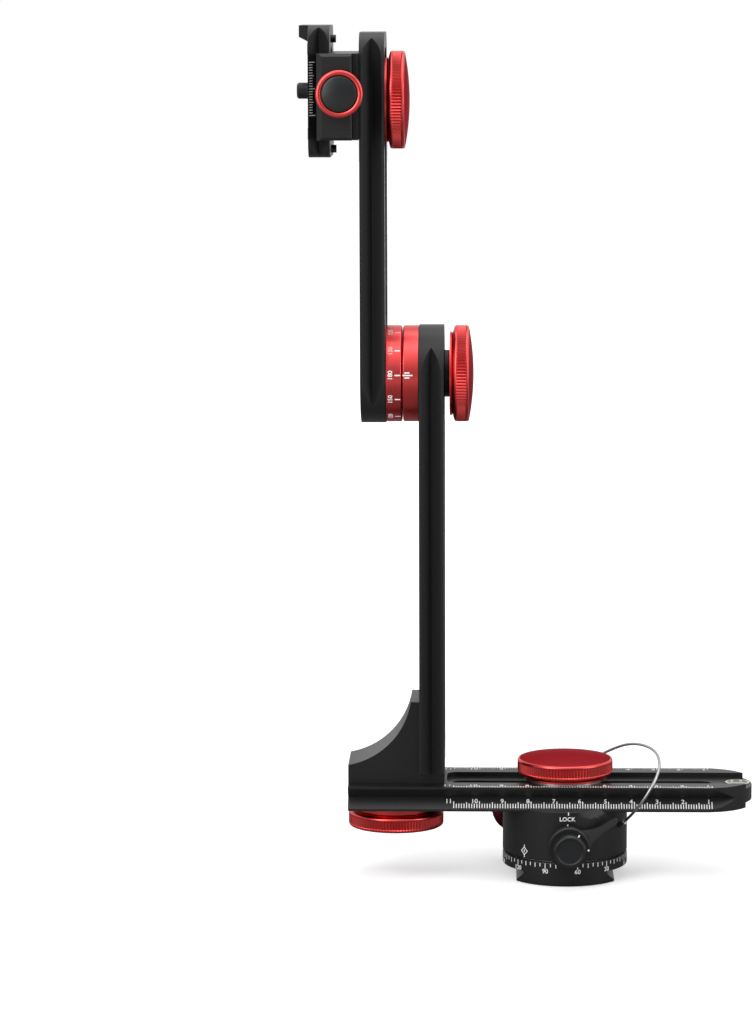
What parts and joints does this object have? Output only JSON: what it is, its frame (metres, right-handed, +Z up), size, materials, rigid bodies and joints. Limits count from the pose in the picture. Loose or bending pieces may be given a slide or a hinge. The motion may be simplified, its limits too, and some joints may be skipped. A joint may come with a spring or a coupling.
{
  "type": "panoramic tripod head",
  "caption": "Indexing rotator with a lock lever under a sliding rail, an upright arm, a tilting arm with degree rings and a camera clamp with a quick release plate.",
  "frame": {"origin": "centre of the tripod thread's mouth in the underside of the base ring, on the pan axis", "axes": "+X along the base rail away from the upright arms, +Y away from the lock lever's side, +Z up along the pan axis"},
  "size_m": [0.1764, 0.073, 0.3309],
  "materials": {
    "black_anodised": "fine bead-blasted black anodising",
    "red_anodised": "bright satin red anodising, machined knurls",
    "dark_red_anodised": "deep wine red satin anodising",
    "black_plastic": "smooth satin black caps",
    "steel": "stainless steel, turned",
    "black_steel": "black oxide screws",
    "bronze": "plain machined bearing bronze",
    "slip_plastic": "waxy white bearing plastic",
    "rubber": "fine grained rubber",
    "level_metal": "turned bright aluminium",
    "level_glass": "clear vial with pale green fluid",
    "wire_steel": "fine stranded stainless cable"
  },
  "bodies": {
    "base": {"base_ring": "black_anodised", "tripod_bushing": "steel", "pan_spindle": "steel", "spindle_screws": "black_steel", "glide_washer": "slip_plastic", "index_ring": "black_anodised", "spindle_nut": "steel"},
    "rotor": {"rotor_body": "black_anodised", "rotor_cap": "black_anodised", "cap_screws": "black_steel", "spindle_bush": "bronze", "brake_shoe": "bronze", "click_spring": "steel", "rail_washer": "red_anodised", "lanyard_tab": "steel", "lanyard_wire": "wire_steel", "lanyard_ferrule": "steel"},
    "lock_lever": {"lock_lever": "black_anodised", "lock_cap": "black_plastic", "lock_screw": "steel"},
    "click_knob": {"click_knob": "dark_red_anodised", "click_knob_cap": "black_plastic", "click_screw": "steel"},
    "click_plunger": {"click_plunger": "steel"},
    "rail_knob": {"rail_knob": "red_anodised", "rail_stud": "steel"},
    "rail": {"base_rail": "black_anodised", "level_cup": "level_metal", "level_vial": "level_glass", "corner_bracket": "black_anodised", "arm_screws": "black_steel", "lower_arm": "black_anodised", "tilt_index_ring": "red_anodised", "tilt_index_screws": "black_steel", "tilt_washer": "slip_plastic", "tilt_spacer": "black_anodised", "bracket_washer": "red_anodised"},
    "bracket_knob": {"bracket_knob": "red_anodised", "bracket_stud": "steel"},
    "tilt_arm": {"upper_arm": "black_anodised", "tilt_degree_ring": "red_anodised", "tilt_degree_screws": "black_steel", "tilt_stud": "steel"},
    "tilt_knob": {"tilt_knob": "red_anodised", "tilt_knob_washer": "red_anodised"},
    "camera_clamp": {"clamp_body": "black_anodised", "guide_pins": "steel", "clamp_springs": "steel", "arm_washer": "red_anodised"},
    "arm_knob": {"arm_knob": "red_anodised", "arm_stud": "steel"},
    "clamp_jaw": {"clamp_jaw": "black_anodised"},
    "clamp_knob": {"clamp_knob": "red_anodised", "clamp_knob_cap": "black_plastic", "clamp_screw": "steel"},
    "camera_plate": {"camera_plate": "black_anodised", "plate_pads": "rubber", "plate_stops": "black_steel"},
    "screw_slide": {"camera_screw_washer": "steel"},
    "camera_screw": {"camera_screw": "steel"}
  },
  "joints": [
    {"name": "pan", "type": "hinge", "parent": "base", "child": "rotor", "pos_m": [0, 0, 0.0099], "axis": [0, 0, 1], "continuous": true},
    {"name": "lock_turn", "type": "hinge", "parent": "rotor", "child": "lock_lever", "pos_m": [0, 0, 0.0164], "axis": [0.0384, -0.9993, 0], "range_deg": [0, 31]},
    {"name": "click_tension_turn", "type": "hinge", "parent": "rotor", "child": "click_knob", "pos_m": [0, 0, 0.0211], "axis": [-0.5446, 0.8387, 0], "range_deg": [-360, 360]},
    {"name": "click_plunger_slide", "type": "slide", "parent": "rotor", "child": "click_plunger", "axis": [-0.5446, 0.8387, 0], "range_m": [0, 0.0007], "stiffness_N_per_m": 1500, "springref_m": -0.002},
    {"name": "rail_knob_turn", "type": "hinge", "parent": "rotor", "child": "rail_knob", "pos_m": [0, 0, 0.04], "axis": [0, 0, 1], "range_deg": [0, 360]},
    {"name": "rail_slide", "type": "slide", "parent": "rotor", "child": "rail", "axis": [1, 0, 0], "range_m": [-0.053, 0.0225]},
    {"name": "bracket_knob_turn", "type": "hinge", "parent": "rail", "child": "bracket_knob", "pos_m": [-0.0662, 0, 0.025], "axis": [0, 0, -1], "range_deg": [0, 360]},
    {"name": "tilt", "type": "hinge", "parent": "rail", "child": "tilt_arm", "pos_m": [-0.063, 0, 0.19725], "axis": [1, 0, 0], "continuous": true},
    {"name": "tilt_knob_turn", "type": "hinge", "parent": "rail", "child": "tilt_knob", "pos_m": [-0.043, 0, 0.19725], "axis": [1, 0, 0], "range_deg": [0, 360]},
    {"name": "clamp_slide", "type": "slide", "parent": "tilt_arm", "child": "camera_clamp", "axis": [0, 0, 1], "range_m": [-0.0645, 0.003]},
    {"name": "arm_knob_turn", "type": "hinge", "parent": "camera_clamp", "child": "arm_knob", "pos_m": [-0.068, 0, 0.3024], "axis": [1, 0, 0], "range_deg": [0, 360]},
    {"name": "jaw_slide", "type": "slide", "parent": "camera_clamp", "child": "clamp_jaw", "axis": [0, -1, 0], "range_m": [0, 0.004]},
    {"name": "clamp_knob_turn", "type": "hinge", "parent": "clamp_jaw", "child": "clamp_knob", "pos_m": [-0.0859, -0.032, 0.3056], "axis": [0, -1, 0], "range_deg": [0, 1440]},
    {"name": "plate_slide", "type": "slide", "parent": "camera_clamp", "child": "camera_plate", "axis": [0, 0, 1], "range_m": [-0.0035, 0.002]},
    {"name": "screw_slot_slide", "type": "slide", "parent": "camera_plate", "child": "screw_slide", "axis": [0, 0, 1], "range_m": [-0.0095, 0.0095]},
    {"name": "camera_screw_turn", "type": "hinge", "parent": "screw_slide", "child": "camera_screw", "pos_m": [-0.095, 0, 0.30595], "axis": [-1, 0, 0], "continuous": true}
  ],
  "couplings": [
    {"joint": "clamp_knob_turn", "follows": "jaw_slide", "rad_per_m": 6283.2}
  ]
}
